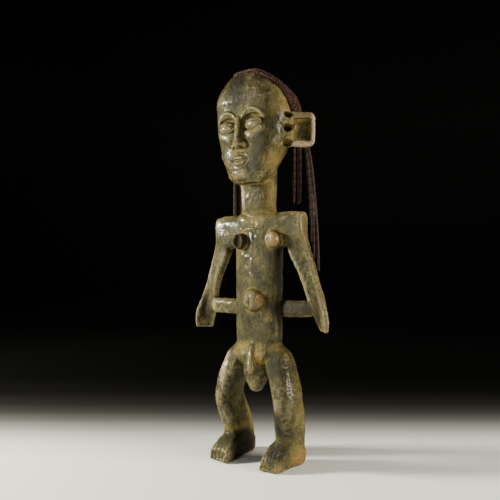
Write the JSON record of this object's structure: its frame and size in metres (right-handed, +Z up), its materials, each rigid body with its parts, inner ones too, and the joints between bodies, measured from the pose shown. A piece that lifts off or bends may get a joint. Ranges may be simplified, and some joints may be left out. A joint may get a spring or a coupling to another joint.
{
  "type": "carved figure",
  "caption": "Carved wooden standing figure with flat shoulders, plank arms joined to the waist by bars, bent legs, square ears and a knotted fibre wig with hanging plaits.",
  "frame": {"origin": "on the floor, midway across and midway front to back of the wooden figure and its wig cap", "axes": "+Z up, -Y the way the figure faces, +X the figure's left side"},
  "size_m": [0.1586, 0.0774, 0.3725],
  "materials": {
    "carved_wood": "dark patinated wood with a worn gloss",
    "plaited_fibre": "knotted and plaited dark fibre"
  },
  "bodies": {
    "root": {"carved_figure": "carved_wood", "wig_cap": "plaited_fibre", "plait_left_1": "plaited_fibre", "plait_left_2": "plaited_fibre", "plait_left_3": "plaited_fibre", "plait_left_4": "plaited_fibre", "plait_left_5": "plaited_fibre", "plait_left_6": "plaited_fibre", "plait_right_1": "plaited_fibre", "plait_right_2": "plaited_fibre", "plait_right_3": "plaited_fibre", "plait_right_4": "plaited_fibre", "plait_right_5": "plaited_fibre", "plait_right_6": "plaited_fibre"}
  },
  "joints": []
}
